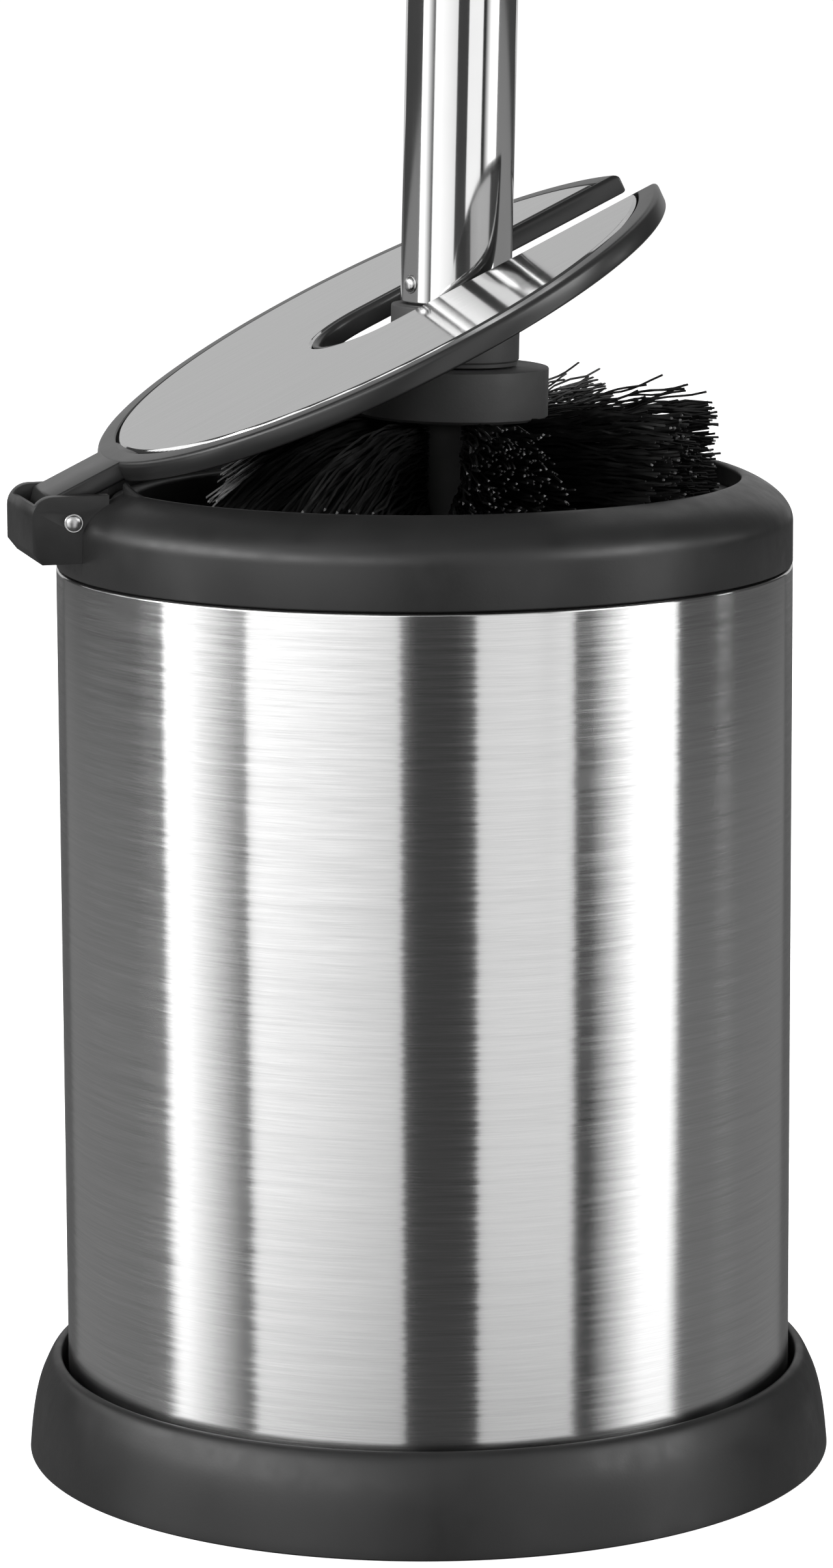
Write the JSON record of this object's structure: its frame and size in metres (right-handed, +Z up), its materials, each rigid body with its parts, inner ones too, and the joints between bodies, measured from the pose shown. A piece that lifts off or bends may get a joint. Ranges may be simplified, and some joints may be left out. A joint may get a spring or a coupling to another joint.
{
  "type": "toilet brush holder",
  "caption": "Round toilet brush holder with a steel casing, a plastic collar and foot, a slotted lid that tilts on a rear hinge, an inner bucket and a long-handled bristle brush.",
  "frame": {"origin": "centre of the foot on the floor", "axes": "+Z up along the casing, +X from the lid hinge towards the open end of the lid slot"},
  "size_m": [0.1224, 0.122, 0.407],
  "materials": {
    "brushed_steel": "stainless steel brushed round the casing",
    "charcoal_plastic": "fine matte moulded plastic",
    "lid_plastic": "matte moulded plastic with softly worn edges",
    "black_plastic": "semi-matte moulded plastic",
    "satin_steel": "satin steel sheet with a bright chamfered edge",
    "polished_steel": "polished stainless steel tube",
    "rubber": "soft matte rubber",
    "zinc_steel": "zinc-plated steel",
    "rivet_steel": "stainless rivet steel",
    "head_plastic": "matte grey-black moulded plastic",
    "black_nylon": "black nylon strands with bright cut tips"
  },
  "bodies": {
    "holder": {"anti_slip_ring": "rubber", "base_ring": "charcoal_plastic", "bottom_plate": "black_plastic", "base_screw_1": "zinc_steel", "base_screw_2": "zinc_steel", "base_screw_3": "zinc_steel", "outer_shell": "brushed_steel", "inner_bucket": "black_plastic", "top_collar": "charcoal_plastic", "hinge_pin": "zinc_steel"},
    "lid": {"lid_frame": "lid_plastic", "lid_inlay": "satin_steel"},
    "brush": {"handle_tube": "polished_steel", "handle_cap": "polished_steel", "handle_rivet": "rivet_steel", "neck_adapter": "head_plastic", "head_stud": "rivet_steel", "head_core": "head_plastic", "bristle_row_1": "black_nylon", "bristle_row_2": "black_nylon", "bristle_row_3": "black_nylon", "bristle_row_4": "black_nylon", "bristle_row_5": "black_nylon", "bristle_row_6": "black_nylon", "bristle_row_7": "black_nylon", "bristle_row_8": "black_nylon", "end_tuft": "black_nylon"}
  },
  "joints": [
    {"name": "brush_lift", "type": "slide", "parent": "holder", "child": "brush", "axis": [0.0262, 0, 0.9997], "range_m": [-0.03, 0.0805]},
    {"name": "lid_hinge", "type": "hinge", "parent": "holder", "child": "lid", "pos_m": [-0.0553, 0, 0.1447], "axis": [0, -1, 0], "range_deg": [-25.79, 69.5]}
  ],
  "couplings": [
    {"joint": "lid_hinge", "follows": "brush_lift", "rad_per_m": 15}
  ]
}
